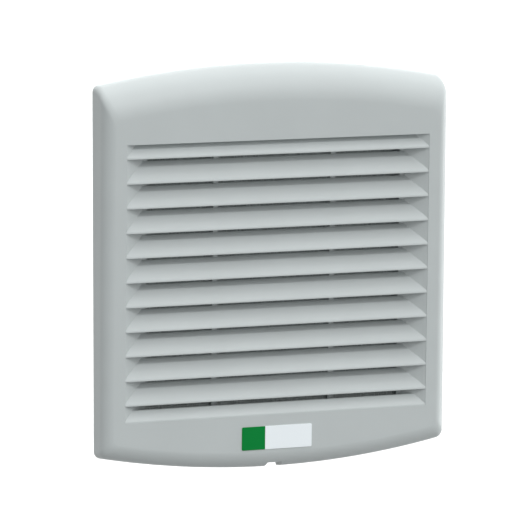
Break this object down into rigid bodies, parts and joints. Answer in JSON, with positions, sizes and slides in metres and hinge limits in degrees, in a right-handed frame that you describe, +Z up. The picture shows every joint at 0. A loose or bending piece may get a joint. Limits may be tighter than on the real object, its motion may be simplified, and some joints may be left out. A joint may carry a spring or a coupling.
{
  "type": "cabinet filter fan",
  "caption": "Louvred cabinet filter fan: arched moulded cover hinged over a filter tray, panel frame with sprung pawls and an axial fan behind.",
  "frame": {"origin": "centre of the square panel cut-out, on the outer face of the cabinet panel", "axes": "+X across, +Y into the cabinet along the fan's axis, +Z up; the louvred front faces -Y"},
  "size_m": [0.248, 0.1235, 0.2679],
  "materials": {
    "cover_plastic": "light grey moulded thermoplastic, fine satin texture",
    "frame_plastic": "light grey moulded thermoplastic",
    "gasket_foam": "black closed-cell foam strip",
    "filter_fleece": "white bonded polyester fleece",
    "pawl_plastic": "grey moulded acetal",
    "fan_metal": "black coated die-cast metal",
    "rotor_steel": "black lacquered pressed steel",
    "impeller_plastic": "black glass-filled plastic",
    "zinc_steel": "zinc-plated steel",
    "guard_steel": "nickel-plated steel wire",
    "winding_copper": "enamelled copper winding",
    "cage_aluminium": "cast aluminium cage",
    "terminal_plastic": "off-white moulded polyamide"
  },
  "bodies": {
    "frame": {"base_frame": "frame_plastic", "panel_gasket": "gasket_foam", "filter_tray": "frame_plastic", "filter_mat": "filter_fleece", "pawl_pin_left_upper": "zinc_steel", "pawl_pin_left_lower": "zinc_steel", "pawl_pin_right_upper": "zinc_steel", "pawl_pin_right_lower": "zinc_steel", "fan_housing": "fan_metal", "stator_core": "zinc_steel", "winding_front": "winding_copper", "winding_rear": "winding_copper", "bearing_front": "zinc_steel", "bearing_rear": "zinc_steel", "finger_guard": "guard_steel", "fan_screw_1": "zinc_steel", "fan_screw_2": "zinc_steel", "fan_screw_3": "zinc_steel", "fan_screw_4": "zinc_steel", "guard_screw_1": "zinc_steel", "guard_screw_2": "zinc_steel", "guard_screw_3": "zinc_steel", "guard_screw_4": "zinc_steel", "terminal_block": "terminal_plastic", "terminal_screw_1": "zinc_steel", "terminal_screw_2": "zinc_steel", "terminal_screw_3": "zinc_steel", "cable_clamp": "terminal_plastic", "clamp_screw_1": "zinc_steel", "clamp_screw_2": "zinc_steel"},
    "cover": {"front_cover": "cover_plastic"},
    "rotor": {"rotor_cup": "rotor_steel", "rotor_cage": "cage_aluminium", "motor_shaft": "zinc_steel", "impeller": "impeller_plastic"},
    "pawl_left_upper": {"pawl_left_upper": "pawl_plastic"},
    "pawl_left_lower": {"pawl_left_lower": "pawl_plastic"},
    "pawl_right_upper": {"pawl_right_upper": "pawl_plastic"},
    "pawl_right_lower": {"pawl_right_lower": "pawl_plastic"}
  },
  "joints": [
    {"name": "cover_hinge", "type": "hinge", "parent": "frame", "child": "cover", "pos_m": [0, -0.008, 0.129], "axis": [-1, 0, 0], "range_deg": [0, 75]},
    {"name": "fan_spin", "type": "hinge", "parent": "frame", "child": "rotor", "pos_m": [0, 0.0688, 0], "axis": [0, 1, 0], "continuous": true},
    {"name": "pawl_hinge_left_upper", "type": "hinge", "parent": "frame", "child": "pawl_left_upper", "pos_m": [-0.108, 0.0258, 0.07], "axis": [0, 0, 1], "range_deg": [0, 7.5], "stiffness_Nm_per_rad": 0.5},
    {"name": "pawl_hinge_left_lower", "type": "hinge", "parent": "frame", "child": "pawl_left_lower", "pos_m": [-0.108, 0.0258, -0.07], "axis": [0, 0, 1], "range_deg": [0, 7.5], "stiffness_Nm_per_rad": 0.5},
    {"name": "pawl_hinge_right_upper", "type": "hinge", "parent": "frame", "child": "pawl_right_upper", "pos_m": [0.108, 0.0258, 0.07], "axis": [0, 0, -1], "range_deg": [0, 7.5], "stiffness_Nm_per_rad": 0.5},
    {"name": "pawl_hinge_right_lower", "type": "hinge", "parent": "frame", "child": "pawl_right_lower", "pos_m": [0.108, 0.0258, -0.07], "axis": [0, 0, -1], "range_deg": [0, 7.5], "stiffness_Nm_per_rad": 0.5}
  ]
}
